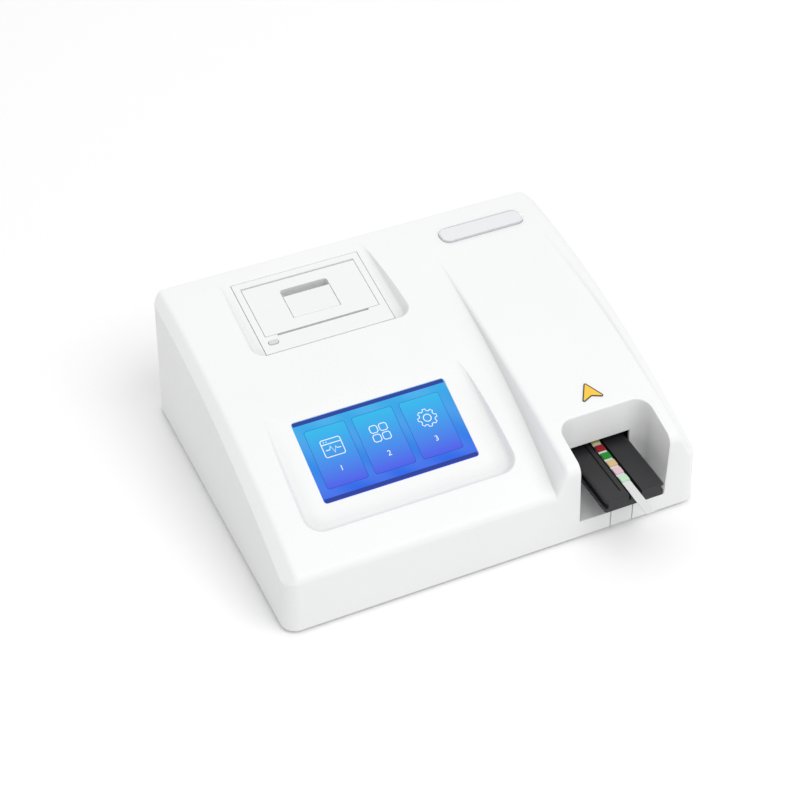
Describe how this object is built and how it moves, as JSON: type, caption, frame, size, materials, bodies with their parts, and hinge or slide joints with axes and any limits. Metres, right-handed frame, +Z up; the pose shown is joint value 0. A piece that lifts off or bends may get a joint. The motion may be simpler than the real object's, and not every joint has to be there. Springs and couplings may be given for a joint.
{
  "type": "urine analyzer",
  "caption": "White wedge-shaped bench urine analyzer with a sloping touch screen, a lidded panel printer and a sliding black tray that holds a test strip.",
  "frame": {"origin": "centre of the whole footprint, strip tip included, on the resting surface", "axes": "+Z up, +X to the right seen from the front, front towards -Y"},
  "size_m": [0.26, 0.248, 0.0898],
  "materials": {
    "case_white": "satin moulded",
    "base_grey": "satin moulded",
    "rubber_black": "matte",
    "steel": "bare",
    "badge_silver": "silver white",
    "mark_amber": "printed film",
    "screen_glass": "lit screen behind a smooth panel",
    "panel_white": "satin moulded",
    "lever_white": "satin moulded",
    "paper_white": "thermal paper",
    "card_brown": "card",
    "module_metal": "bare",
    "head_ceramic": "ground",
    "inner_black": "moulded",
    "key_grey": "moulded",
    "board_green": "solder mask",
    "tray_black": "fine matte",
    "strip_white": "film",
    "pad_colour": "absorbent pads",
    "brass": "turned",
    "lens_clear": "clear",
    "socket_black": "moulded",
    "socket_metal": "plated"
  },
  "bodies": {
    "case": {"top_cover": "case_white", "base_plate": "base_grey", "front_insert": "base_grey", "rubber_feet": "rubber_black", "case_screws": "steel", "display_bracket": "steel", "display_screws": "steel", "printer_screws": "steel", "head_springs": "steel", "tear_bar": "steel", "drive_chassis": "steel", "guide_rods": "steel", "chassis_screws": "steel", "head_bridge": "steel", "board_screws": "steel", "clock_cell": "steel", "badge_plate": "badge_silver", "marker_plate": "mark_amber", "touch_panel": "screen_glass", "printer_frame": "panel_white", "lcd_module": "module_metal", "tray_motor": "module_metal", "feed_motor": "module_metal", "head_heat_sink": "module_metal", "print_head": "head_ceramic", "roll_spindle": "inner_black", "optical_head": "inner_black", "home_sensor": "inner_black", "board_chips": "inner_black", "board_connectors": "inner_black", "key_switch": "inner_black", "printer_board": "board_green", "sensor_board": "board_green", "control_board": "board_green", "screw_bearing": "brass", "optical_lens": "lens_clear", "head_lamps": "lens_clear", "power_inlet": "socket_black", "switch_housing": "socket_black", "usb_socket": "socket_metal", "serial_socket": "socket_metal"},
    "tray": {"strip_tray": "tray_black", "test_strip": "strip_white", "reagent_pads": "pad_colour", "tray_carriage": "inner_black", "carriage_bushes": "brass", "drive_nut": "brass", "home_flag": "inner_black"},
    "screw": {"lead_screw": "steel"},
    "door": {"printer_door": "panel_white", "door_hinge_pin": "steel", "lever_pin": "steel"},
    "lever": {"release_lever": "lever_white"},
    "platen": {"platen_roller": "rubber_black", "platen_shaft": "steel"},
    "roll": {"paper_roll": "paper_white", "paper_core": "card_brown"},
    "key": {"feed_key": "key_grey"},
    "rocker": {"power_rocker": "socket_black"}
  },
  "joints": [
    {"name": "tray_slide", "type": "slide", "parent": "case", "child": "tray", "axis": [0, 1, 0], "range_m": [0, 0.072]},
    {"name": "screw_turn", "type": "hinge", "parent": "case", "child": "screw", "pos_m": [0.0795, -0.0611, 0.0175], "axis": [0, 1, 0], "range_deg": [0, 2600]},
    {"name": "door_hinge", "type": "hinge", "parent": "case", "child": "door", "pos_m": [-0.0397, 0.10225, 0.08472], "axis": [-1, 0, 0], "range_deg": [0, 85]},
    {"name": "lever_hinge", "type": "hinge", "parent": "door", "child": "lever", "pos_m": [-0.0397, 0.07326, 0.08012], "axis": [1, 0, 0], "range_deg": [0, 35], "stiffness_Nm_per_rad": 0.02, "springref_deg": -11.46},
    {"name": "roll_turn", "type": "hinge", "parent": "case", "child": "roll", "pos_m": [-0.0397, 0.08928, 0.05719], "axis": [1, 0, 0], "continuous": true},
    {"name": "platen_turn", "type": "hinge", "parent": "door", "child": "platen", "pos_m": [-0.0397, 0.06806, 0.074], "axis": [1, 0, 0], "continuous": true},
    {"name": "key_press", "type": "slide", "parent": "case", "child": "key", "axis": [0, 0.1771, -0.9842], "range_m": [0, 0.0008], "stiffness_N_per_m": 500, "springref_m": -0.0006},
    {"name": "rocker_turn", "type": "hinge", "parent": "case", "child": "rocker", "pos_m": [-0.076, 0.1192, 0.025], "axis": [0, 0, 1], "range_deg": [-14, 0]}
  ],
  "couplings": [
    {"joint": "screw_turn", "follows": "tray_slide", "rad_per_m": 628.32},
    {"joint": "platen_turn", "follows": "roll_turn", "ratio": 3.75}
  ]
}
